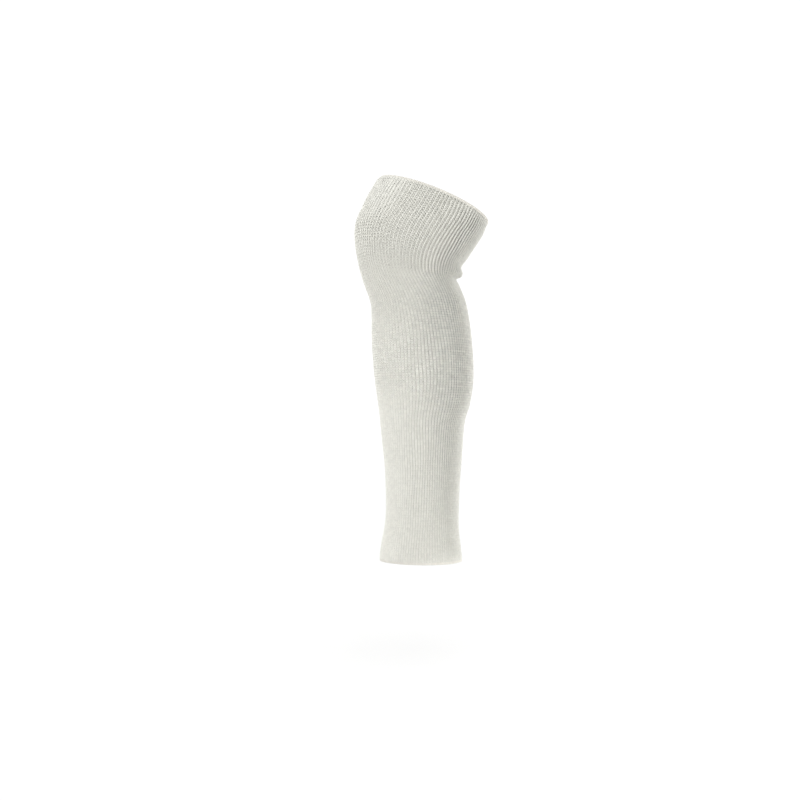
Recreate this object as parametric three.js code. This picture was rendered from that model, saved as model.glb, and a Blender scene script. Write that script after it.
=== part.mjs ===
// Knee sleeve in its worn form: a rib-knitted tube that runs from above a bent knee down to the ankle,
// open at both ends, with a turned welt round each opening.
// Millimetres. +Z is up, -Y is the kneecap side and +X is the inner side of a right leg.
// The origin is the middle of the knee, inside the hollow.
import * as THREE from 'three';

// Driving dimensions
const KNIT_WALL = 2.4;
const WELT_HEIGHT = 5.5;
const WELT_WALL = 3;
const WELT_PROUD = 0.4;
const LIP_RADIUS = 1.4;
const NECK_WALL = 2;
const JOIN_GAP = 0.3;
const SIDES = 44;
const LIP_STEPS = 7;

const KNIT_COLOUR = 0xd9d8cb;
const WELT_COLOUR = 0xe4e2d8;

// The worn outline, from the lower opening to the upper one. Each row is one flat section of the outer face.
//   front, back  the section's two ends in the side view, as y and z
//   wide         its half widths towards the inner and the outer side of the leg
//   belly        how far its widest place lies behind its middle
//   rings        facet rings from this section up to the next
const SECTIONS = [
  { at: 'lower_rim', front: [-32, -357.5], back: [62.5, -358], wide: [41.5, 41], belly: 2, rings: 1 },
  { at: 'lower_hem', front: [-33, -352], back: [62.5, -352.5], wide: [42, 41.5], belly: 2, rings: 2 },
  { at: 'ankle', front: [-30.5, -336], back: [61, -336], wide: [39.5, 39], belly: 2, rings: 2 },
  { at: 'narrowest', front: [-27, -316], back: [59, -316], wide: [37.5, 37], belly: 2, rings: 2 },
  { at: 'low_shin', front: [-25.5, -291], back: [59.5, -291], wide: [37.5, 37], belly: 2, rings: 2 },
  { at: 'mid_shin', front: [-26.5, -257], back: [61.5, -257], wide: [39.5, 38.5], belly: 3, rings: 2 },
  { at: 'high_shin', front: [-29.5, -224], back: [64, -224], wide: [43, 41.5], belly: 4, rings: 2 },
  { at: 'calf_foot', front: [-32.5, -195.5], back: [66.5, -195.5], wide: [47, 45], belly: 5, rings: 2 },
  { at: 'calf_step', front: [-35, -174.5], back: [72.5, -174.5], wide: [50.5, 48.5], belly: 6, rings: 2 },
  { at: 'low_calf', front: [-38, -152], back: [76.5, -152], wide: [54, 51.5], belly: 7, rings: 2 },
  { at: 'mid_calf', front: [-41, -125], back: [76.5, -125], wide: [56.5, 54], belly: 7, rings: 2 },
  { at: 'high_calf', front: [-42.5, -96.5], back: [74.5, -94], wide: [57, 55.5], belly: 6, rings: 2 },
  { at: 'calf_head', front: [-43, -68], back: [70.5, -68], wide: [56, 55.5], belly: 4, rings: 2 },
  { at: 'shin_head', front: [-44.5, -53], back: [67, -52], wide: [55.5, 55], belly: 2, rings: 2 },
  { at: 'under_knee', front: [-50, -37.5], back: [61, -36.5], wide: [55.5, 55.5], belly: 0, rings: 4 },
  { at: 'knee_pit', front: [-55, -23.5], back: [57.5, -26], wide: [57, 57], belly: -2, rings: 6 },
  { at: 'low_cap', front: [-59, -8], back: [60, -16.5], wide: [59, 58.5], belly: -3, rings: 2 },
  { at: 'mid_cap', front: [-62, 9.5], back: [65.5, -8], wide: [61, 60.5], belly: -3, rings: 2 },
  { at: 'high_cap', front: [-63, 26], back: [71.5, -0.5], wide: [62.5, 62], belly: -2, rings: 2 },
  { at: 'over_cap', front: [-61, 42.5], back: [77, 8], wide: [63.5, 63], belly: 0, rings: 2 },
  { at: 'low_thigh', front: [-55, 56.5], back: [82, 16], wide: [64, 64], belly: 1, rings: 2 },
  { at: 'mid_thigh', front: [-48.5, 70.5], back: [87.5, 24.5], wide: [64.5, 64.5], belly: 2, rings: 2 },
  { at: 'upper_hem', front: [-37, 89], back: [92.5, 36], wide: [65, 65], belly: 2, rings: 1 },
  { at: 'upper_rim', front: [-32.5, 92.5], back: [94.5, 41], wide: [64, 64], belly: 2, rings: 0 },
];

// Folds that the bent knee presses into the back of the tube.
//   z             the fold's height at the back
//   above, below  how far it fades out
//   reachDeg      how far it runs to each side of the back
//   out, droop    how far it stands out of the wall and hangs down
const FOLDS = [
  { at: 'pit_roll', z: -19.5, above: 5, below: 4.2, reachDeg: 52, out: 5.2, droop: 1 },
  { at: 'pit_notch', z: -27.5, above: 3, below: 5, reachDeg: 60, out: -1, droop: 0 },
];

const LAST = SECTIONS.length - 1;
const LOWER_HEM = SECTIONS.findIndex((s) => s.at === 'lower_hem');
const UPPER_HEM = SECTIONS.findIndex((s) => s.at === 'upper_hem');

// A smooth curve through three values of each section. A station is a place along it, counted in sections.
function through(values) {
  const points = SECTIONS.map((section) => new THREE.Vector3(...values(section)));
  const curve = new THREE.CatmullRomCurve3(points, false, 'catmullrom', 0.5);
  return (station) => curve.getPoint(THREE.MathUtils.clamp(station / LAST, 0, 1));
}
const frontAt = through(({ front }) => [0, ...front]);
const backAt = through(({ back }) => [0, ...back]);
const widthsAt = through(({ wide, belly }) => [...wide, belly]);

// A point of the outer face without its folds. The angle is 0 at the front and turns towards the inner side.
function skinPoint(station, angle) {
  const front = frontAt(station);
  const back = backAt(station);
  const { x: inner, y: outer, z: belly } = widthsAt(station);
  const depth = back.clone().sub(front);
  const across = Math.sin(angle);
  const behind = -0.5 * Math.cos(angle) + (belly / depth.length()) * across * across;
  return front
    .lerp(back, 0.5)
    .addScaledVector(depth, behind)
    .setX((across > 0 ? inner : outer) * across);
}

// The way out of the wall at a point of the outer face.
function skinNormal(station, angle) {
  const step = 0.02;
  const upwards = skinPoint(station + step, angle).sub(skinPoint(station - step, angle));
  const around = skinPoint(station, angle + step).sub(skinPoint(station, angle - step));
  return around.cross(upwards).normalize();
}

// How far the folds push a point of the outer face out and down.
function foldPush(station, angle) {
  const height = backAt(station).z;
  const fromBack = Math.abs(Math.PI - THREE.MathUtils.euclideanModulo(angle, 2 * Math.PI));
  const push = { out: 0, droop: 0 };
  for (const fold of FOLDS) {
    const share = fromBack / THREE.MathUtils.degToRad(fold.reachDeg);
    if (share >= 1) continue;
    const rise = height - fold.z;
    const fade = rise / (rise > 0 ? fold.above : fold.below);
    const weight = Math.exp(-(Math.abs(fade) ** 3)) * Math.cos((share * Math.PI) / 2) ** 2;
    push.out += fold.out * weight;
    push.droop += fold.droop * weight;
  }
  return push;
}

function outerPoint(station, angle) {
  const { out, droop } = foldPush(station, angle);
  const point = skinPoint(station, angle).addScaledVector(skinNormal(station, angle), out);
  point.z -= droop;
  return point;
}

function innerPoint(station, angle) {
  return skinPoint(station, angle).addScaledVector(skinNormal(station, angle), -KNIT_WALL);
}

// The stations of the facet rings from one section to another.
function ringStations(first, last) {
  const stations = [];
  for (let row = first; row < last; row++) {
    const { rings } = SECTIONS[row];
    for (let ring = 0; ring < rings; ring++) stations.push(row + ring / rings);
  }
  return [...stations, last];
}

// A ring-shaped solid from the closed outlines of its cross sections, taken all the way round the leg.
// Each outline runs up the outer face and down the inner one.
function ringSolid(outlineAt) {
  const outlines = Array.from({ length: SIDES }, (_, side) => outlineAt((2 * Math.PI * side) / SIDES));
  const count = outlines[0].length;
  const index = [];
  for (let side = 0; side < SIDES; side++) {
    const here = side * count;
    const beside = ((side + 1) % SIDES) * count;
    for (let low = 0; low < count; low++) {
      const high = (low + 1) % count;
      index.push(here + low, beside + low, beside + high);
      index.push(here + low, beside + high, here + high);
    }
  }
  const positions = outlines.flat().flatMap((point) => point.toArray());
  const geometry = new THREE.BufferGeometry();
  geometry.setAttribute('position', new THREE.Float32BufferAttribute(positions, 3));
  geometry.setIndex(index);
  geometry.computeVertexNormals();
  return geometry;
}

// The knitted wall between the two welts.
function knitTube() {
  const stations = ringStations(LOWER_HEM, UPPER_HEM);
  const downwards = [...stations].reverse();
  return ringSolid((angle) => [
    ...stations.map((station) => outerPoint(station, angle)),
    ...downwards.map((station) => innerPoint(station, angle)),
  ]);
}

// A welt's cross section: a flat band, a neck and a rolled lip. x points out of the wall, y off the knit.
function weltOutline() {
  const inside = WELT_PROUD - WELT_WALL;
  const middle = WELT_PROUD - WELT_WALL / 2;
  const lipCentre = WELT_HEIGHT - LIP_RADIUS;
  const neckAngle = Math.acos(NECK_WALL / 2 / LIP_RADIUS);
  const shoulder = lipCentre - 2 * LIP_RADIUS * Math.sin(neckAngle);
  const shape = new THREE.Shape();
  shape.moveTo(inside, JOIN_GAP);
  shape.lineTo(WELT_PROUD, JOIN_GAP);
  shape.lineTo(WELT_PROUD, shoulder);
  shape.absarc(middle, lipCentre, LIP_RADIUS, -neckAngle, Math.PI + neckAngle, false);
  shape.lineTo(inside, shoulder);
  return shape.extractPoints(LIP_STEPS).shape;
}

// A welt round one opening, from the hem where the knit ends out towards the rim. Its foot lies along the
// end of the knitted wall, so the gap between the two is even.
function welt(hem, rim) {
  const outline = weltOutline();
  if (rim < hem) outline.reverse();
  return ringSolid((angle) => {
    const foot = skinPoint(hem, angle);
    const away = skinPoint(rim, angle).sub(foot).normalize();
    const outwards = skinNormal(hem, angle);
    return outline.map(({ x, y }) => foot.clone().addScaledVector(outwards, x).addScaledVector(away, y));
  });
}

function piece(name, geometry, colour) {
  const material = new THREE.MeshStandardMaterial({ color: colour, roughness: 0.95, metalness: 0 });
  const mesh = new THREE.Mesh(geometry, material);
  mesh.name = name;
  return mesh;
}

const sleeve = new THREE.Group();
sleeve.name = 'knee_sleeve';
sleeve.add(piece('knit_tube', knitTube(), KNIT_COLOUR));
sleeve.add(piece('upper_welt', welt(UPPER_HEM, LAST), WELT_COLOUR));
sleeve.add(piece('lower_welt', welt(LOWER_HEM, 0), WELT_COLOUR));

export default sleeve;
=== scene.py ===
# %% [markdown]
# # A rib-knitted knee sleeve
# A long compression sleeve is one knitted tube, open at both ends. It is shown in its worn form: it
# bulges at the front of the knee, folds at the back of it, and narrows from the calf to the ankle. This
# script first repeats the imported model's form as a formula, then knits on it, loop by loop.

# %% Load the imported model
import math

import bpy
import numpy as np
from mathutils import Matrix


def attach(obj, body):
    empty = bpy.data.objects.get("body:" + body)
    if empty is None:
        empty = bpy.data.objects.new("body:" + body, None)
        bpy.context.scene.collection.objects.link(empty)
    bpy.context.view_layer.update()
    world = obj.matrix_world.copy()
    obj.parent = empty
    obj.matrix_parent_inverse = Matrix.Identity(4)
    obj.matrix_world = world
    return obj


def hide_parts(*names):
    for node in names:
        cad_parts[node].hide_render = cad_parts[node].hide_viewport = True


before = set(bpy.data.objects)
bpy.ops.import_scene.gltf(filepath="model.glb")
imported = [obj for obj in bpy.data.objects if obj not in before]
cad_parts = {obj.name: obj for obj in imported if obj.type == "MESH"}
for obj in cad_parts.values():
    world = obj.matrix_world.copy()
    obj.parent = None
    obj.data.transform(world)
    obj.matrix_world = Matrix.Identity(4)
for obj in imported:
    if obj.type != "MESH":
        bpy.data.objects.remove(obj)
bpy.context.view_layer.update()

print("packed nodes:", sorted(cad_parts))

# %% [markdown]
# ## The worn form
# A worn tube is read most easily as a row of sections, from the ankle up. Each section has a front and a
# back point in the side view, a half width to each side, and a belly, which is how far its widest place
# lies behind its middle. A mesh could be sculpted to this, but a table keeps every size in sight, and the
# knit needs a formula anyway, because each loop has to know where it lies. All sizes in the table are
# millimetres.

# %% Sections from the ankle to the thigh
MM = 0.001
SECTIONS = [
    # name          front y, z       back y, z       half widths    belly
    ("lower_rim",   -32.0, -357.5,   62.5, -358.0,   41.5, 41.0,    2),
    ("lower_hem",   -33.0, -352.0,   62.5, -352.5,   42.0, 41.5,    2),
    ("ankle",       -30.5, -336.0,   61.0, -336.0,   39.5, 39.0,    2),
    ("narrowest",   -27.0, -316.0,   59.0, -316.0,   37.5, 37.0,    2),
    ("low_shin",    -25.5, -291.0,   59.5, -291.0,   37.5, 37.0,    2),
    ("mid_shin",    -26.5, -257.0,   61.5, -257.0,   39.5, 38.5,    3),
    ("high_shin",   -29.5, -224.0,   64.0, -224.0,   43.0, 41.5,    4),
    ("calf_base",   -32.5, -195.5,   66.5, -195.5,   47.0, 45.0,    5),
    ("calf_step",   -35.0, -174.5,   72.5, -174.5,   50.5, 48.5,    6),
    ("low_calf",    -38.0, -152.0,   76.5, -152.0,   54.0, 51.5,    7),
    ("mid_calf",    -41.0, -125.0,   76.5, -125.0,   56.5, 54.0,    7),
    ("high_calf",   -42.5,  -96.5,   74.5,  -94.0,   57.0, 55.5,    6),
    ("calf_head",   -43.0,  -68.0,   70.5,  -68.0,   56.0, 55.5,    4),
    ("shin_head",   -44.5,  -53.0,   67.0,  -52.0,   55.5, 55.0,    2),
    ("under_knee",  -50.0,  -37.5,   61.0,  -36.5,   55.5, 55.5,    0),
    ("knee_pit",    -55.0,  -23.5,   57.5,  -26.0,   57.0, 57.0,   -2),
    ("low_cap",     -59.0,   -8.0,   60.0,  -16.5,   59.0, 58.5,   -3),
    ("mid_cap",     -62.0,    9.5,   65.5,   -8.0,   61.0, 60.5,   -3),
    ("high_cap",    -63.0,   26.0,   71.5,   -0.5,   62.5, 62.0,   -2),
    ("over_cap",    -61.0,   42.5,   77.0,    8.0,   63.5, 63.0,    0),
    ("low_thigh",   -55.0,   56.5,   82.0,   16.0,   64.0, 64.0,    1),
    ("mid_thigh",   -48.5,   70.5,   87.5,   24.5,   64.5, 64.5,    2),
    ("upper_hem",   -37.0,   89.0,   92.5,   36.0,   65.0, 65.0,    2),
    ("upper_rim",   -32.5,   92.5,   94.5,   41.0,   64.0, 64.0,    2),
]
rows = np.array([row[1:] for row in SECTIONS]) * MM
LAST = len(rows) - 1
STATION = {row[0]: number for number, row in enumerate(SECTIONS)}
print(len(rows), "sections,", round((rows[-1, 1] - rows[0, 3]) * 1000), "mm tall")

# %% A smooth form through the sections
def section_at(station):
    """The table's values anywhere between its rows, by the Catmull-Rom rule."""
    station = np.clip(station, 0, LAST)
    ends = np.vstack([2 * rows[0] - rows[1], rows, 2 * rows[-1] - rows[-2]])
    first = np.minimum(station.astype(int), LAST - 1)
    t = (station - first)[..., None]
    before, here, after, beyond = (ends[first + k] for k in range(4))
    leave, arrive = (after - before) / 2, (beyond - here) / 2
    rise = after - here
    return here + leave * t + (3 * rise - 2 * leave - arrive) * t**2 + (leave + arrive - 2 * rise) * t**3


def worn_point(station, angle):
    """A point of the worn outline. The angle is 0 at the front and turns towards the inner side."""
    station, angle = np.broadcast_arrays(np.asarray(station, float), angle)
    front_y, front_z, back_y, back_z, inner, outer, belly = np.moveaxis(section_at(station), -1, 0)
    across = np.sin(angle)
    depth = np.hypot(back_y - front_y, back_z - front_z)
    behind = belly / depth * across**2 - np.cos(angle) / 2
    return np.stack([
        np.where(across > 0, inner, outer) * across,
        (front_y + back_y) / 2 + (back_y - front_y) * behind,
        (front_z + back_z) / 2 + (back_z - front_z) * behind,
    ], axis=-1)


def unit(vectors):
    return vectors / np.linalg.norm(vectors, axis=-1, keepdims=True)


def worn_normal(station, angle, step=0.02):
    """The way out of the wall, from a small step to each side."""
    upwards = worn_point(station + step, angle) - worn_point(station - step, angle)
    around = worn_point(station, angle + step) - worn_point(station, angle - step)
    return unit(np.cross(around, upwards))


around_calf = worn_point(np.full(181, float(STATION["high_calf"])), np.radians(np.arange(0, 361, 2)))
print("calf", round(1000 * np.linalg.norm(np.diff(around_calf, axis=0), axis=1).sum()), "mm round")

# %% [markdown]
# ## The folds behind the knee
# The bend pushes spare knit out into a soft roll at the back, with a sharp notch under it. Each fold is
# one row: its height at the back, how far it fades above and below, its reach to each side in degrees,
# and how far it stands out and droops. Cloth simulation could find such folds too, but the photographed
# roll has one known place and size, so a row of numbers meets it better.

# %% Fold table
FOLDS = [
    # name           z      above  below  reach   out   droop
    ("pit_roll",   -19.5,   5.0,   4.2,   52,     5.2,  1.0),
    ("pit_notch",  -27.5,   3.0,   5.0,   60,    -1.0,  0.0),
]


def fold_push(station, angle):
    """How far the folds move a point out of the wall and down, in metres."""
    height = section_at(station)[..., 3] / MM
    from_back = np.degrees(np.abs(np.pi - np.mod(angle, 2 * np.pi)))
    out, droop = np.zeros_like(height), np.zeros_like(height)
    for _, z, above, below, reach, stands, hangs in FOLDS:
        rise = height - z
        fade = np.exp(-np.abs(rise / np.where(rise > 0, above, below)) ** 3)
        weight = fade * np.cos(np.minimum(from_back / reach, 1) * np.pi / 2) ** 2
        out, droop = out + stands * weight * MM, droop + hangs * weight * MM
    return out, droop


print("folds:", ", ".join(row[0] for row in FOLDS))

# %% [markdown]
# ## Ribs and courses
# Knitters count a fabric in wales, the columns of loops, and courses, its rows. This is a one by one rib:
# a column of knit loops stands out, and a column of purl loops lies back between it and the next. The
# same number of ribs runs from end to end, so they are wide over the thigh and close at the ankle.
# Counting in ribs and courses instead of millimetres makes the knit stretch and close up by itself,
# wherever the form does. Two slow waves make the columns sway by part of a rib, and the wall eases in and
# out a little, as soft cloth does.

# %% From rib and course to a point
RIBS = 96
COURSES = 150
WIDE_SWAY, FINE_SWAY = 0.16, 0.10
EASE = 0.3 * MM
LOWER_HEM, UPPER_HEM = STATION["lower_hem"], STATION["upper_hem"]

FINE_STEPS = 100
fine = np.linspace(0, LAST, FINE_STEPS * LAST + 1)
lines = worn_point(fine[:, None], np.radians([0, 90, 180, 270]))
run = np.concatenate([[0], np.linalg.norm(np.diff(lines, axis=0), axis=-1).mean(axis=1).cumsum()])
lower, upper = np.interp([LOWER_HEM, UPPER_HEM], fine, run)
course_line = COURSES * (run - lower) / (upper - lower)
print("a course is", round(1000 * (upper - lower) / COURSES, 2), "mm tall on average")


def knit_point(rib, course, out=0.0, lining=False):
    """A point of the knit by rib and course, set out of the worn outline by so many metres.
    The lining runs straight across behind a roll, and follows only the folds that press inwards."""
    rib, course = np.broadcast_arrays(np.asarray(rib, float), np.asarray(course, float))
    turn = 2 * np.pi * rib / RIBS
    sway = WIDE_SWAY * np.sin(3 * turn + 0.11 * course) + FINE_SWAY * np.sin(7 * turn - 0.23 * course + 1)
    angle = turn + 2 * np.pi * sway / RIBS
    station = np.interp(course, course_line, fine)
    ease = np.sin(5 * turn + 0.17 * course) * np.sin(4 * turn - 0.13 * course + 2)
    fold_out, droop = fold_push(station, angle)
    if lining:
        fold_out, droop = np.minimum(fold_out, 0), 0
    away = (out + fold_out + EASE * ease)[..., None]
    point = worn_point(station, angle) + worn_normal(station, angle) * away
    point[..., 2] -= droop
    return point


# %% [markdown]
# ## How the knit lies
# A rib changes with the pull on it. At the front of the knee it is stretched wide: the purl columns come
# up level with the knit ones, and small holes open between them. Round the sides of the knee and the
# calf, the purl bars stand apart like the rungs of a ladder. Down the back the knit is slack, so the purl
# columns sink and the ribs stand out. Down the front of the shin and under the upper welt it lies flat
# and closed. Soft ramps over ribs and courses say how far each of these has gone, so that one runs into
# the next without an edge.

# %% Soft ramps
# Each pair is where one place runs into the next: in courses, or for the side in degrees from the front.
CALF_STARTS, CALF_ENDS = (50, 64), (98, 114)
KNEE_STARTS, KNEE_TIGHTENS = (92, 112), (98, 122)
SHIN_ENDS, WELT_NEARS = (50, 75), (132, 146)
CALF_SIDE = (60, 100)


def ramp(value, low, high):
    """Rises softly from 0 to 1 between two values."""
    share = np.clip((value - low) / (high - low), 0, 1)
    return share * share * (3 - 2 * share)


def from_front(rib):
    """The angle between a rib and the middle of the front, in degrees."""
    return np.degrees(np.abs(np.mod(2 * np.pi * rib / RIBS + np.pi, 2 * np.pi) - np.pi))


# %% Stretched, laddered and plain places
def stretched(rib, course):
    """How far the purl columns come up level with the knit ones: fully on the knee, partly on the calf."""
    calf = 0.25 * ramp(course, *CALF_STARTS) * (1 - ramp(from_front(rib), 60, 140))
    knee = ramp(course, *KNEE_TIGHTENS) * (1 - ramp(from_front(rib), 95, 165))
    return calf + knee * (1 - calf)


def laddered(rib, course):
    """How far the bars between the columns stand apart like rungs, with a hole under each."""
    at_knee = ramp(course, *KNEE_STARTS)
    knee = at_knee * ramp(from_front(rib), 76, 112)
    calf = ramp(course, *CALF_STARTS) * (1 - at_knee) * ramp(from_front(rib), *CALF_SIDE)
    return knee + 0.6 * calf


def covered(rib, course):
    """The closed place under the front of the upper welt, where the columns spread until they touch."""
    return ramp(course, *WELT_NEARS) * (1 - ramp(from_front(rib), 30, 75))


def plain(rib, course):
    """How far the knit lies flat: down the front of the shin, and in the covered place."""
    shin = (1 - ramp(from_front(rib), 40, 110)) * (1 - ramp(course, *SHIN_ENDS))
    return np.maximum(covered(rib, course), shin)


# %% Depth of the purl columns
LEAST_DEPTH, TAUT_DEPTH, LADDER_DEPTH, SLACK_DEPTH = 0.18 * MM, 0.14 * MM, 0.22 * MM, 1.0 * MM


def recessed(rib, course):
    """How deep the purl columns lie, in metres: hardly where the knit is stretched, deepest at the back."""
    taut = stretched(rib, course)
    from_edge = np.maximum(np.minimum(course, COURSES - course), 0)
    loose = (1 - taut) * (1 - np.exp(-from_edge / 3)) * (0.5 + 0.5 * ramp(course, 10, 50))
    even = TAUT_DEPTH * taut + LADDER_DEPTH * laddered(rib, course)
    return LEAST_DEPTH + even + SLACK_DEPTH * loose * ramp(from_front(rib), 50, 150)


deep = recessed(np.array([0, RIBS / 2]), np.array([130, 80])) / MM
print("purl columns:", deep[0].round(2), "mm deep at the knee,", deep[1].round(2), "mm behind the calf")

# %% [markdown]
# ## Tension
# No two rows are knitted with quite the same pull. A table of random pulls, a few dozen round each row,
# sinks some short stretches of a row a little and lifts others; round the calf, painted shade darkens the
# sunk stretches and painted light lightens the lifted ones. Its seed is fixed, so every run gives the
# same sleeve.

# %% Tension along the rows
PATCHES = 32
SPARE_ROWS = 3
pulls = np.random.default_rng(11).uniform(-1, 1, (COURSES + 2 * SPARE_ROWS, PATCHES))
pulls = np.hstack([pulls, pulls[:, :1]])


def tension(rib, course):
    """How tightly a row was knitted here, from -1 to 1: it drifts along a row, and jumps to the next."""
    place = np.mod(rib, RIBS) * PATCHES / RIBS
    patch = place.astype(int)
    row = np.floor(course).astype(int) + SPARE_ROWS
    return pulls[row, patch] + (place - patch) * (pulls[row, patch + 1] - pulls[row, patch])


print("tension for", pulls.shape[0], "rows in", PATCHES, "patches")

# %% [markdown]
# ## Helpers
# Geometry Nodes and shaders are both trees of nodes, so one small function makes a node, sets its options
# and fills its inputs, either with a value or with a link from another node's output. Others build a mesh
# from arrays of points, which is far quicker than adding one vertex at a time, and store values on it for
# the trees and shaders to read. The last few begin and finish a matt material.

# %% Helpers for node trees
def add(tree, kind, inputs=None, **options):
    """A new node with these options, and each input set to a value or linked to an output."""
    made = tree.nodes.new(kind)
    for option, value in options.items():
        setattr(made, option, value)
    for socket, value in (inputs or {}).items():
        if isinstance(value, bpy.types.NodeSocket):
            tree.links.new(value, made.inputs[socket])
        else:
            made.inputs[socket].default_value = value
    return made


def reckon(tree, operation, *values):
    """A Math node: the operation on one, two or three numbers or links."""
    return add(tree, "ShaderNodeMath", dict(enumerate(values)), operation=operation).outputs[0]


def vector(tree, operation, inputs):
    """A Vector Math node."""
    return add(tree, "ShaderNodeVectorMath", inputs, operation=operation).outputs[0]


def named(tree, name, kind="FLOAT_VECTOR"):
    """A value that the mesh carries under this name."""
    return add(tree, "GeometryNodeInputNamedAttribute", {"Name": name}, data_type=kind).outputs["Attribute"]


# %% Helpers for geometry trees
def geometry_tree(name, sizes):
    """A Geometry Nodes tree with named inputs: each is a label, a kind of socket and its usual value."""
    tree = bpy.data.node_groups.new(name, "GeometryNodeTree")
    tree.interface.new_socket("Geometry", in_out="INPUT", socket_type="NodeSocketGeometry")
    tree.interface.new_socket("Geometry", in_out="OUTPUT", socket_type="NodeSocketGeometry")
    for label, kind, usual in sizes:
        socket = tree.interface.new_socket(label, in_out="INPUT", socket_type="NodeSocket" + kind)
        if usual is not None:
            socket.default_value = usual
    return tree, tree.nodes.new("NodeGroupInput").outputs, tree.nodes.new("NodeGroupOutput")


def end_tree(tree, result, geometry, material):
    """The end of a tree: smooth faces and a material."""
    smooth = add(tree, "GeometryNodeSetShadeSmooth", {"Geometry": geometry})
    ends = {"Geometry": smooth.outputs[0], "Material": material}
    dressed = add(tree, "GeometryNodeSetMaterial", ends)
    tree.links.new(dressed.outputs[0], result.inputs["Geometry"])
    print(tree.name, "tree with", len(tree.nodes), "nodes")


def grown(piece, tree, **sizes):
    """Runs a tree on a piece with these sizes, and keeps the result as a plain mesh."""
    modifier = piece.modifiers.new(tree.name, "NODES")
    modifier.node_group = tree
    for item in tree.interface.items_tree:
        label = item.name.replace(" ", "_")
        if item.in_out == "INPUT" and label in sizes:
            modifier[item.identifier] = sizes[label]
    graph = bpy.context.evaluated_depsgraph_get()
    mesh = bpy.data.meshes.new_from_object(
        piece.evaluated_get(graph), preserve_all_data_layers=True, depsgraph=graph
    )
    mesh.name = piece.name
    piece.modifiers.clear()
    piece.data = mesh
    print(piece.name, len(mesh.polygons), "faces")
    return piece


# %% Helpers for meshes
def new_piece(name, points, faces=()):
    mesh = bpy.data.meshes.new(name)
    mesh.from_pydata(np.reshape(points, (-1, 3)).tolist(), [], np.asarray(faces).tolist())
    piece = bpy.data.objects.new(name, mesh)
    bpy.context.collection.objects.link(piece)
    return piece


def give(piece, name, values, kind="FLOAT_VECTOR", slot="vector"):
    """Stores one value for each point of a piece."""
    layer = piece.data.attributes.new(name, kind, "POINT")
    numbers = bool if kind == "BOOLEAN" else np.float32
    layer.data.foreach_set(slot, np.ascontiguousarray(values, numbers).ravel())


def give_map(piece, name, corners):
    """Stores a UV map, given as one place for each corner of each face."""
    layer = piece.data.uv_layers.new(name=name)
    layer.uv.foreach_set("vector", np.ascontiguousarray(corners, np.float32).ravel())


def ring_piece(name, outlines, top=1.0):
    """A closed ring from its outlines, an array of (points along the outline, places around, xyz).
    Its bake map unrolls it: once round is u, and along the outline is v, up to the given top."""
    along, around = outlines.shape[:2]
    p, c = np.meshgrid(np.arange(along), np.arange(around), indexing="ij")
    corner = [(0, 0), (0, 1), (1, 1), (1, 0)]
    faces = [((p + up) % along) * around + (c + side) % around for up, side in corner]
    spread = [np.stack([(c + side) / around, (p + up) / along * top], -1) for up, side in corner]
    piece = new_piece(name, outlines, np.stack(faces, -1).reshape(-1, 4))
    give_map(piece, "OFBake", np.stack(spread, 2))
    return piece


# %% Helpers for materials
def matt_cloth(name, roughness=0.92, specular=0.2, sheen=0.25):
    """A new matt material, with its node tree. Its sheen brightens the edges, as short hairs do."""
    material = bpy.data.materials.new(name)
    material.use_nodes = True
    shader = material.node_tree.nodes["Principled BSDF"]
    shader.inputs["Roughness"].default_value = roughness
    shader.inputs["Specular IOR Level"].default_value = specular
    shader.inputs["Sheen Weight"].default_value = sheen
    return material, material.node_tree


def mixed(tree, share, low, high):
    """A colour between two, by a share from 0 to 1."""
    shades = {"Factor": share, "A": (*low, 1), "B": (*high, 1)}
    return add(tree, "ShaderNodeMix", shades, data_type="RGBA").outputs["Result"]


def colour_and_bump(tree, colour, relief, strength, depth):
    """Gives a material its colour, and a bump from its relief."""
    shader = tree.nodes["Principled BSDF"]
    bump = add(tree, "ShaderNodeBump", {"Strength": strength, "Distance": depth, "Height": relief})
    tree.links.new(colour, shader.inputs["Base Color"])
    tree.links.new(bump.outputs["Normal"], shader.inputs["Normal"])


# %% [markdown]
# ## Yarn
# The sleeve is one soft, matt, ivory yarn. Its colour hardly varies, so most of what the eye reads is
# light caught between the loops. Each loop carries three values of its own: `local`, the place within the
# loop, `tone`, a random share, and `sunk`, a painted shade for how little light reaches it between its
# neighbours, which turns to painted light where the knit is stretched, with a few random flecks. The
# shader paints shade on a loop towards the wall and on the sunk loops, varies each loop a little, and
# raises fine fibres along it.

# %% Yarn shader
PAINTED_SHADE_WEIGHT = -3.3
LOOP_BOTTOM, LOOP_TOP = -0.35, 0.4
FIBRES = {"Scale": 2.4, "Distortion": 1.5, "Detail": 3.0, "Detail Scale": 3.0}
SHADES = {"From Min": -4.0, "From Max": 2.4, "To Min": 0.54, "To Max": 1.116}


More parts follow.
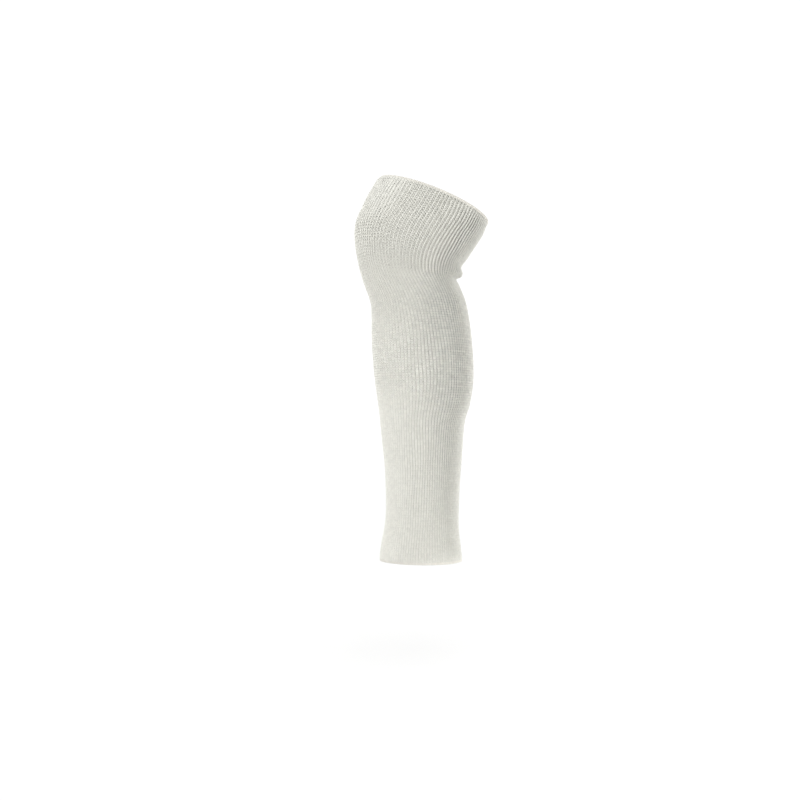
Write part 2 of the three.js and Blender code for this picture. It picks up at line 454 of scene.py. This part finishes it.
def yarn(name, crest, hollow_shade):
    """A matt yarn with its crest colour on top, and a darker colour of painted shade down towards the wall.
    """
    material, tree = matt_cloth(name)
    tree.nodes["Principled BSDF"].inputs["Sheen Roughness"].default_value = 0.6
    local = add(tree, "ShaderNodeAttribute", attribute_name="local").outputs["Vector"]
    tone = add(tree, "ShaderNodeAttribute", attribute_name="tone").outputs["Fac"]
    sunk = add(tree, "ShaderNodeAttribute", attribute_name="sunk").outputs["Fac"]
    # Painted shade: each loop's colour darkens from the crest colour on top to a darker one low down towards
    # the wall.
    height = add(tree, "ShaderNodeSeparateXYZ", {0: local}).outputs["Z"]
    span = {"Value": height, "From Min": LOOP_BOTTOM, "From Max": LOOP_TOP}
    raised = add(tree, "ShaderNodeMapRange", span).outputs["Result"]
    shifted = vector(tree, "ADD", {0: local, 1: tone})
    wave = add(tree, "ShaderNodeTexWave", {"Vector": shifted, **FIBRES}, bands_direction="DIAGONAL")
    strands = wave.outputs["Fac"]
    # The sunk value paints shade on a loop, and painted light where it falls below 0; tone and strands vary
    # the yarn itself.
    light = reckon(tree, "MULTIPLY_ADD", sunk, PAINTED_SHADE_WEIGHT, reckon(tree, "ADD", tone, strands))
    shade = add(tree, "ShaderNodeMapRange", {"Value": light, **SHADES}).outputs["Result"]
    tinted = vector(tree, "SCALE", {0: mixed(tree, raised, hollow_shade, crest), "Scale": shade})
    colour_and_bump(tree, tinted, strands, strength=0.6, depth=0.3 * MM)
    return material


# The darker second colours are painted shade on the same yarn.
rib_yarn = yarn("ivory rib yarn", crest=(0.82, 0.814, 0.752), hollow_shade=(0.72, 0.714, 0.65))
lip_yarn = yarn("cream lip yarn", crest=(0.86, 0.835, 0.765), hollow_shade=(0.78, 0.755, 0.69))
print("yarns:", rib_yarn.name, "and", lip_yarn.name)

# %% [markdown]
# ## The ground behind the loops
# Between the loops the eye meets the back of the rib, which lies in shade. It is a closed wall: the outer
# face sits a little under the loops, and the inner face carries ribs of its own, half a rib out of step,
# as the back of a one by one rib does. A smooth ring is meshed first, and a short tree then raises its
# ribs along the normals.

# %% Rib relief tree
relief_tree, sizes, result = geometry_tree("Rib relief", [("Cloth", "Material", None)])


def ridges(count, height):
    """Rounded ridges, one at each whole rib or course, as tall as the mesh says."""
    phase = reckon(relief_tree, "MULTIPLY", named(relief_tree, count, "FLOAT"), 2 * math.pi)
    wave = reckon(relief_tree, "COSINE", phase)
    return reckon(relief_tree, "MULTIPLY", wave, named(relief_tree, height, "FLOAT"))


height = reckon(relief_tree, "ADD", ridges("rib", "rib_height"), ridges("course", "course_height"))
normal = add(relief_tree, "GeometryNodeInputNormal").outputs["Normal"]
lift = vector(relief_tree, "SCALE", {0: normal, "Scale": height})
raised = add(relief_tree, "GeometryNodeSetPosition", {"Geometry": sizes["Geometry"], "Offset": lift})
real = add(relief_tree, "GeometryNodeRealizeInstances", {"Geometry": raised.outputs[0]})
end_tree(relief_tree, result, real.outputs[0], sizes["Cloth"])

# %% Ground shader
# The darker ground colour is painted shade in the dips between the beads of its bump; the paler one lies on
# the beads.
GROUND_HOLLOW_SHADE, GROUND_PALE = (0.83, 0.82, 0.74), (0.88, 0.87, 0.79)
ground_cloth, tree = matt_cloth("shaded rib ground", roughness=0.95, specular=0.1, sheen=0.15)
place = add(tree, "ShaderNodeUVMap", uv_map="Knit").outputs["UV"]
across, along, _ = add(tree, "ShaderNodeSeparateXYZ", {0: place}).outputs
columns = reckon(tree, "COSINE", reckon(tree, "MULTIPLY", across, 4 * math.pi))
courses = reckon(tree, "COSINE", reckon(tree, "MULTIPLY", along, 2 * math.pi))
bead = reckon(tree, "MULTIPLY", columns, courses)
share = add(tree, "ShaderNodeMapRange", {"Value": bead, "From Min": -1.0, "From Max": 1.0}).outputs["Result"]
colour_and_bump(tree, mixed(tree, share, GROUND_HOLLOW_SHADE, GROUND_PALE), share, strength=0.5, depth=0.6 * MM)
print("ground cloth:", ground_cloth.name)

# %% Mesh the ground
STEPS = 2 * RIBS
UNDER_BARS = 0.75 * MM
LINING = -2.6 * MM
rib = np.arange(STEPS) / 2
up = np.arange(0, COURSES + 0.1)
down = np.arange(COURSES, -0.1, -2)
course = np.concatenate([up, down])
outside = np.arange(len(course)) < len(up)
lifted = 0.4 * (stretched(rib, course[:, None]) + plain(rib, course[:, None]))
below = recessed(rib, course[:, None]) + UNDER_BARS * (1 - lifted)
walls = np.where(
    outside[:, None, None],
    knit_point(rib, course[:, None], -below),
    knit_point(rib, course[:, None], LINING, lining=True),
)
ground = ring_piece("knit_ground", walls)
print("ground of", len(course), "rings, each with", STEPS, "points")

# %% Raise the ground's ribs
LINING_RIBS, OUTER_COURSES = -0.3 * MM, -0.1 * MM
for name, values in (
    ("rib", np.tile(rib, len(course))),
    ("course", np.repeat(course, STEPS)),
    ("rib_height", np.repeat(np.where(outside, 0, LINING_RIBS), STEPS)),
    ("course_height", np.repeat(np.where(outside, OUTER_COURSES, 0), STEPS)),
):
    give(ground, name, values, "FLOAT", "value")
corner_rib = (np.arange(STEPS)[:, None] + np.array([0, 1, 1, 0])) / 2
corner_course = course[(np.arange(len(course))[:, None] + np.array([0, 0, 1, 1])) % len(course)]
give_map(ground, "Knit", np.stack(np.broadcast_arrays(corner_rib, corner_course[:, None]), -1))
grown(ground, relief_tree, Cloth=ground_cloth)

# %% [markdown]
# ## Loops
# A knit loop shows as a V of two plump grains, tucked into the loop above. A purl loop shows as two short
# bars, one over the other. Modelling thousands by hand is out of the question, and a flat picture of
# loops would lose the light between them. So one V and one bar are made inside a tree and set on a
# lattice of points, turned to the wall and scaled to the knit there. A grain has only sixteen triangles
# and a bar twelve, because there are nearly sixty thousand of them.

# %% Loop tree
loop_tree, sizes, result = geometry_tree("Knit loops", [
    ("Grain Lean", "Float", math.radians(14)),
    ("Grain Spread", "Float", 0.2),
    ("Bar Droop", "Vector", (0.0, -1.4, -2.2)),
    ("Unevenness", "Float", 0.07),
    ("Seed", "Int", 4),
    ("Bake Tile", "Vector", (1.0, 1.0, 0.0)),
    ("Yarn", "Material", None),
])
GRAIN = (1.1, 0.66, 1.4)
GRAIN_TUCK = -0.2


def grain(side):
    """One half of a V: a long grain, one of its edges turned outwards, leaning to this side."""
    ball = add(loop_tree, "GeometryNodeMeshUVSphere", {"Segments": 4, "Rings": 3, "Radius": 0.5})
    stood = add(loop_tree, "GeometryNodeTransform", {
        "Geometry": ball.outputs["Mesh"], "Rotation": (math.pi / 2, -math.pi / 2, 0), "Scale": GRAIN,
    })
    aside = reckon(loop_tree, "MULTIPLY", sizes["Grain Spread"], side)
    leant = reckon(loop_tree, "MULTIPLY", sizes["Grain Lean"], -side)
    return add(loop_tree, "GeometryNodeTransform", {
        "Geometry": stood.outputs[0],
        "Translation": add(loop_tree, "ShaderNodeCombineXYZ", {"X": aside}).outputs[0],
        "Rotation": add(loop_tree, "ShaderNodeCombineXYZ", {"X": GRAIN_TUCK, "Z": leant}).outputs[0],
    }).outputs[0]


knit = add(loop_tree, "GeometryNodeJoinGeometry")
for side in (-1, 1):
    loop_tree.links.new(grain(side), knit.inputs[0])

# %% Purl bar
bar = add(loop_tree, "GeometryNodeMeshUVSphere", {"Segments": 3, "Rings": 3, "Radius": 0.5})
laid = add(
    loop_tree, "GeometryNodeTransform", {"Geometry": bar.outputs["Mesh"], "Rotation": (0, -math.pi / 2, 0)}
)
spot = add(loop_tree, "GeometryNodeInputPosition").outputs[0]
aside = add(loop_tree, "ShaderNodeSeparateXYZ", {0: spot}).outputs["X"]
square = reckon(loop_tree, "MULTIPLY", aside, aside)
bend = vector(loop_tree, "SCALE", {0: sizes["Bar Droop"], "Scale": square})
purl = add(loop_tree, "GeometryNodeSetPosition", {"Geometry": laid.outputs[0], "Offset": bend})
print("loop shapes: a V and a bar")

# %% Turn and scale each loop
facing = add(
    loop_tree, "FunctionNodeAxesToRotation",
    {"Primary Axis": named(loop_tree, "out"), "Secondary Axis": named(loop_tree, "along")},
    primary_axis="Z", secondary_axis="Y",
)
least = reckon(loop_tree, "MULTIPLY", sizes["Unevenness"], -1.0)


def uneven(offset):
    """Three random shares for each loop, up to the Unevenness either way."""
    low = add(loop_tree, "ShaderNodeCombineXYZ", {"X": least, "Y": least, "Z": least}).outputs[0]
    high = vector(loop_tree, "SCALE", {0: low, "Scale": -1.0})
    seed = reckon(loop_tree, "ADD", sizes["Seed"], offset)
    draw = {"Min": low, "Max": high, "Seed": seed}
    return add(loop_tree, "FunctionNodeRandomValue", draw, data_type="FLOAT_VECTOR").outputs["Value"]


twist = add(loop_tree, "FunctionNodeEulerToRotation", {"Euler": uneven(0)})
turned = add(
    loop_tree, "FunctionNodeRotateRotation",
    {"Rotation": facing.outputs[0], "Rotate By": twist.outputs[0]}, rotation_space="LOCAL",
)
swell = vector(loop_tree, "ADD", {0: uneven(1), 1: (1.0, 1.0, 1.0)})
scale = vector(loop_tree, "MULTIPLY", {0: swell, 1: named(loop_tree, "size")})

# %% Set the loops on the lattice
is_purl = named(loop_tree, "purl", "BOOLEAN")
is_knit = add(loop_tree, "FunctionNodeBooleanMath", {0: is_purl}, operation="NOT").outputs[0]
cloth = add(loop_tree, "GeometryNodeJoinGeometry")
for shape, chosen in ((purl, is_purl), (knit, is_knit)):
    place = add(loop_tree, "GeometryNodeInputPosition").outputs[0]
    marked = add(
        loop_tree, "GeometryNodeStoreNamedAttribute",
        {"Geometry": shape.outputs[0], "Name": "local", "Value": place}, data_type="FLOAT_VECTOR",
    )
    placed = add(loop_tree, "GeometryNodeInstanceOnPoints", {
        "Points": sizes["Geometry"], "Selection": chosen, "Instance": marked.outputs[0],
        "Rotation": turned.outputs[0], "Scale": scale,
    })
    loop_tree.links.new(placed.outputs[0], cloth.inputs[0])

# %% Give each loop its tone and bake place
random_tone = add(loop_tree, "FunctionNodeRandomValue", {"Seed": sizes["Seed"]}, data_type="FLOAT")
toned = add(
    loop_tree, "GeometryNodeStoreNamedAttribute",
    {"Geometry": cloth.outputs[0], "Name": "tone", "Value": random_tone.outputs[1]},
    data_type="FLOAT", domain="INSTANCE",
)
real = add(loop_tree, "GeometryNodeRealizeInstances", {"Geometry": toned.outputs[0]})
within = vector(loop_tree, "MULTIPLY", {0: named(loop_tree, "local"), 1: sizes["Bake Tile"]})
tile = vector(loop_tree, "ADD", {0: within, 1: named(loop_tree, "bake")})
mapped = add(
    loop_tree, "GeometryNodeStoreNamedAttribute",
    {"Geometry": real.outputs[0], "Name": "OFBake", "Value": tile}, data_type="FLOAT2", domain="CORNER",
)
end_tree(loop_tree, result, mapped.outputs[0], sizes["Yarn"])

# %% [markdown]
# ## The lattice
# The tree needs to know, for each loop, which way is out of the wall, which way the column runs, and how
# big the knit is there. All three come from the same formula: a half step to each side gives the
# directions and their lengths. Where the knit is stretched, a column keeps its yarn but stands apart from
# the next, so its width grows more slowly than the rib's pitch, and the bars between the columns come to
# light. The bars lie half a course out of step with the Vs, as purl heads do, so the holes between them
# stagger instead of lining up in rows.

# %% Size of the loops
def loop_size(rib, course, purl, pitch, rise):
    """Each loop's width, length and thickness in metres, from its rib's pitch and its course's rise."""
    taut, flat = stretched(rib, course), plain(rib, course)
    front = (1 - ramp(from_front(rib), 30, 110)) * (1 - ramp(course, 85, 105))
    calf = ramp(course, *CALF_STARTS) * (1 - ramp(course, *CALF_ENDS))
    beads = calf * ramp(from_front(rib), *CALF_SIDE)
    bar = [
        (1.35 - 0.52 * taut) * pitch,
        (0.78 - 0.14 * laddered(rib, course)) * rise,
        (1.1 - 0.15 * taut - 0.45 * flat) * MM,
    ]
    vee = [
        0.1 * MM + (0.76 + 0.28 * front - 0.33 * taut + 0.6 * covered(rib, course)) * pitch,
        (1 + 0.4 * flat - 0.1 * beads) * rise,
        (1.3 - 0.3 * taut - 0.3 * flat) * MM,
    ]
    return np.where(purl[:, None], np.stack(bar, -1), np.stack(vee, -1))


# %% Shade of the loops
def loop_shade(rib, course, sunk, chance):
    """Painted shade where less light reaches a loop: most for sunk ones, painted light below 0, flecks."""
    taut = stretched(rib, course)
    slack = ramp(course, 50, 68) * (1 - ramp(course, *CALF_ENDS))
    sides = ramp(from_front(rib), 40, 90)
    fleck = 0.04 + 0.11 * ramp(course, *SHIN_ENDS) * (1 - 0.6 * taut) * (0.4 + 0.6 * sides)
    # Painted shade on sunk loops, painted light on stretched ones, random flecks of tone, and painted shade
    # where the rows sink and painted light where they lift.
    shade = ramp(sunk, 0.3 * MM, 1.3 * MM) * (1 - 0.4 * taut)
    shade += taut * (1 - covered(rib, course)) * chance.uniform(-0.5, -0.35, len(rib))
    shade += fleck * (1 - 0.5 * plain(rib, course)) * chance.uniform(-1, 1, len(rib))
    shade += slack * (0.04 + 0.12 * ramp(from_front(rib), 60, 120)) * tension(rib, course)
    return shade


# %% Lattice of loops
KNIT_DEPTH = 0.2 * MM
STRAY, PULL = 0.06 * MM, 0.08 * MM


def lattice(name, first, last):
    """Points for the loops of some courses: a V on each knit column, and two bars on each purl column."""
    rib, course = (x.ravel() for x in np.meshgrid(np.arange(RIBS), np.arange(first, last) + 0.5))
    apart = 0.22 + 0.03 * covered(rib, course) - 0.05 * laddered(rib, course)
    rib = np.concatenate([rib, rib + 0.5, rib + 0.5])
    course = np.concatenate([course, course + 0.5 - apart, course + 0.5 + apart])
    kept = (course > -1) & (course < COURSES + 1)
    rib, course = rib[kept], course[kept]
    purl = rib % 1 > 0.25
    along = knit_point(rib, course + 0.5) - knit_point(rib, course - 0.5)
    around = knit_point(rib + 0.5, course) - knit_point(rib - 0.5, course)
    out = unit(np.cross(around, along))
    pitch, rise = np.linalg.norm(around, axis=1), np.linalg.norm(along, axis=1)
    chance = np.random.default_rng(first + 7)
    sunk = np.where(purl, recessed(rib, course), KNIT_DEPTH)
    loose = 1 - 0.7 * plain(rib, course)
    depth = sunk + loose * (chance.normal(0, STRAY, len(rib)) + PULL * tension(rib, course))
    piece = new_piece(name, knit_point(rib, course) - out * depth[:, None])
    give(piece, "out", out)
    give(piece, "along", unit(along))
    give(piece, "size", loop_size(rib, course, purl, pitch, rise))
    give(piece, "bake", np.stack([(rib + 0.25) / RIBS, (course - first) / (last - first + 1), 0 * rib], -1))
    give(piece, "purl", purl, "BOOLEAN", "value")
    # The sunk value is painted shade, and painted light where it falls below 0, for the yarn shader.
    give(piece, "sunk", loop_shade(rib, course, sunk, chance), "FLOAT", "value")
    return piece


# %% Knit the sleeve in bands
BANDS = {
    "loops_ankle": (-2, 30),
    "loops_shin": (30, 60),
    "loops_calf": (60, 90),
    "loops_knee": (90, 120),
    "loops_thigh": (120, 151),
}
TILE_WIDTH, TILE_HEIGHT = 0.33, 0.2
loops = []
for name, (first, last) in BANDS.items():
    tile = (TILE_WIDTH / RIBS, TILE_HEIGHT / (last - first + 1), 0.0)
    loops.append(grown(lattice(name, first, last), loop_tree, Bake_Tile=tile, Yarn=rib_yarn))

# %% [markdown]
# ## Welts
# Each opening ends in a turned welt: a narrow plain band and a rolled, paler lip. Its cross section is
# drawn once, as lines and an arc, and swept round the opening. A chain of small loops then lies along the
# lip, as a cast-off edge does, made by the same loop tree.

# %% Welt shader
WELT_DARK, WELT_PALE = (0.64, 0.63, 0.56), (0.74, 0.73, 0.66)
welt_cloth, tree = matt_cloth("plain welt knit")
place = add(tree, "ShaderNodeTexCoord").outputs["Object"]
grains = add(tree, "ShaderNodeTexNoise", {"Vector": place, "Scale": 1400.0, "Detail": 3.0}).outputs["Fac"]
colour_and_bump(tree, mixed(tree, grains, WELT_DARK, WELT_PALE), grains, strength=0.5, depth=0.3 * MM)
print("welt cloth:", welt_cloth.name)

# %% Welt cross section
WELT_HEIGHT, WELT_WALL, WELT_PROUD = 5.5 * MM, 3.0 * MM, 0.4 * MM
LIP_RADIUS, NECK_WALL, WELT_BED = 1.4 * MM, 2.0 * MM, -1.0 * MM
LIP_MIDDLE = WELT_PROUD - WELT_WALL / 2
LIP_CENTRE = WELT_HEIGHT - LIP_RADIUS
ARC_POINTS, SIDE_POINTS = 16, 4


def welt_outline():
    """The cross section, out of the wall and away from the knit, up its outer face and down the inner."""
    inside = WELT_PROUD - WELT_WALL
    neck = math.acos(NECK_WALL / 2 / LIP_RADIUS)
    shoulder = LIP_CENTRE - 2 * LIP_RADIUS * math.sin(neck)
    start = -math.acos((WELT_BED - LIP_MIDDLE) / LIP_RADIUS)
    turn = np.linspace(start, math.pi + neck, ARC_POINTS)
    arc = np.stack([LIP_MIDDLE + LIP_RADIUS * np.cos(turn), LIP_CENTRE + LIP_RADIUS * np.sin(turn)], -1)
    outer = np.stack([np.full(SIDE_POINTS, WELT_BED), np.linspace(0, arc[0, 1], SIDE_POINTS + 1)[:-1]], -1)
    inner = np.stack([np.full(SIDE_POINTS, inside), np.linspace(shoulder, 0, SIDE_POINTS)], -1)
    return np.concatenate([outer, arc, inner])


print("welt", len(welt_outline()), "points round its section")

# %% Chain along a lip
LINKS = 2 * RIBS
LINK_WIDTH, LINK_THICK, CHAIN_DROP = 3.0 * MM, 1.0 * MM, 0.3 * MM
LINK_LENGTH, LINK_UNEVEN = 1.2, 0.03
RING_BAKE_TOP, CHAIN_BAKE_ROW = 0.8, 0.9
LINK_TILE = (0.5 / LINKS, 0.1, 0.0)


def lip_chain(name, lip, outwards, away):
    """A chain of loops on the outer side of a lip."""
    chain = new_piece(name, lip + outwards * LIP_RADIUS - away * CHAIN_DROP)
    along = np.roll(lip, -1, axis=0) - np.roll(lip, 1, axis=0)
    rise = np.linalg.norm(along, axis=1) / 2
    link = [np.full(LINKS, LINK_WIDTH), LINK_LENGTH * rise, np.full(LINKS, LINK_THICK)]
    spot = [(np.arange(LINKS) + 0.5) / LINKS, np.full(LINKS, CHAIN_BAKE_ROW), np.zeros(LINKS)]
    give(chain, "out", outwards)
    give(chain, "along", unit(along))
    give(chain, "size", np.stack(link, -1))
    give(chain, "bake", np.stack(spot, -1))
    give(chain, "purl", np.zeros(LINKS, bool), "BOOLEAN", "value")
    return grown(chain, loop_tree, Unevenness=LINK_UNEVEN, Bake_Tile=LINK_TILE, Yarn=lip_yarn)


# %% Welt rings
def welt(name, hem, rim):
    """A welt's ring from a hem to a rim, with a chain of loops along its lip."""
    angle = 2 * np.pi * np.arange(LINKS) / LINKS
    base = worn_point(float(hem), angle)
    away = unit(worn_point(float(rim), angle) - base)
    outwards = worn_normal(float(hem), angle)
    outline = welt_outline()
    if rim < hem:
        outline = outline[::-1]
    outlines = base + outwards * outline[:, None, :1] + away * outline[:, None, 1:]
    ring = ring_piece(name, outlines, top=RING_BAKE_TOP)
    ring.data.materials.append(welt_cloth)
    ring.data.shade_smooth()
    lip = base + outwards * LIP_MIDDLE + away * LIP_CENTRE
    chain = lip_chain(name + "_chain", lip, outwards, away)
    with bpy.context.temp_override(active_object=ring, selected_editable_objects=[ring, chain]):
        bpy.ops.object.join()
    return ring


upper_welt = welt("turned_welt_top", UPPER_HEM, LAST)
lower_welt = welt("turned_welt_ankle", LOWER_HEM, 0)
print("welts with", len(upper_welt.data.polygons), "and", len(lower_welt.data.polygons), "faces")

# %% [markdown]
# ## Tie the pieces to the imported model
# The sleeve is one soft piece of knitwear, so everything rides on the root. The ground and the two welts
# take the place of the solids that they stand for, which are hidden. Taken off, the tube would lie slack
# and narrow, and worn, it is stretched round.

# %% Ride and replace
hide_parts("knit_tube")
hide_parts("upper_welt")
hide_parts("lower_welt")
for piece in (ground, *loops):
    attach(piece, "root")
for piece in (upper_welt, lower_welt):
    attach(piece, "root")

# %% [markdown]
# ## Studio
# The photograph is a bright catalogue shot: white all round, with a broad soft light from the front of
# the knee. A white world gives the even light, one very soft sun shapes the form, and a small low lamp
# lightens the back of the ankle. The floor lies well below the sleeve, which keeps its height as if worn.

# %% Floor
FLOOR, HALF_FLOOR = -0.463, 6.0
scene = bpy.context.scene
scene.view_settings.view_transform = "Standard"
corners = [(x * HALF_FLOOR, y * HALF_FLOOR, FLOOR) for x, y in ((-1, -1), (1, -1), (1, 1), (-1, 1))]
floor = new_piece("pale_floor", corners, [(0, 1, 2, 3)])
paper = bpy.data.materials.new("white paper")
paper.use_nodes = True
paper.node_tree.nodes["Principled BSDF"].inputs["Base Color"].default_value = (0.87, 0.87, 0.87, 1)
paper.node_tree.nodes["Principled BSDF"].inputs["Roughness"].default_value = 0.9
floor.data.materials.append(paper)
print("floor", round(-1000 * FLOOR), "mm under the middle of the knee")

# %% Light
world = bpy.data.worlds.new("white studio")
world.use_nodes = True
world.node_tree.nodes["Background"].inputs["Color"].default_value = (1, 1, 1, 1)
world.node_tree.nodes["Background"].inputs["Strength"].default_value = 1.1
scene.world = world

sun = bpy.data.lights.new("soft key", "SUN")
sun.energy = 0.55
sun.angle = math.radians(35)
key = bpy.data.objects.new("soft key", sun)
key.rotation_euler = (math.radians(65), 0, math.radians(37))
bpy.context.collection.objects.link(key)

bounce = bpy.data.lights.new("low bounce", "AREA")
bounce.energy = 0.85
bounce.size = 0.15
low = bpy.data.objects.new("low bounce", bounce)
low.location = (0.2, 0.46, -0.40)
low.rotation_euler = (math.radians(-97), 0, math.radians(-26))
low.visible_camera = False
bpy.context.collection.objects.link(low)
print("lights:", key.name, "and", low.name)

# %% [markdown]
# ## Camera
# The camera stands a little over a metre away on the inner side, square to the bend, at the height of the
# shin, and looks up by a degree or two. The distance sets how far the two rims open towards the eye, and
# the lens then sets how much of the picture the sleeve fills.

# %% Camera
eye, aim = np.array([1.125, -0.0094, -0.2038]), np.array([0, -0.0094, -0.1696])
lens = bpy.data.cameras.new("catalogue camera")
lens.sensor_width = 36
lens.lens = 43
camera = bpy.data.objects.new("catalogue camera", lens)
camera.location = eye
camera.rotation_euler = (math.pi / 2 + math.atan2(aim[2] - eye[2], eye[0] - aim[0]), 0, math.pi / 2)
bpy.context.collection.objects.link(camera)
scene.camera = camera
print("camera", round(float(np.linalg.norm(eye - aim)), 2), "m away")
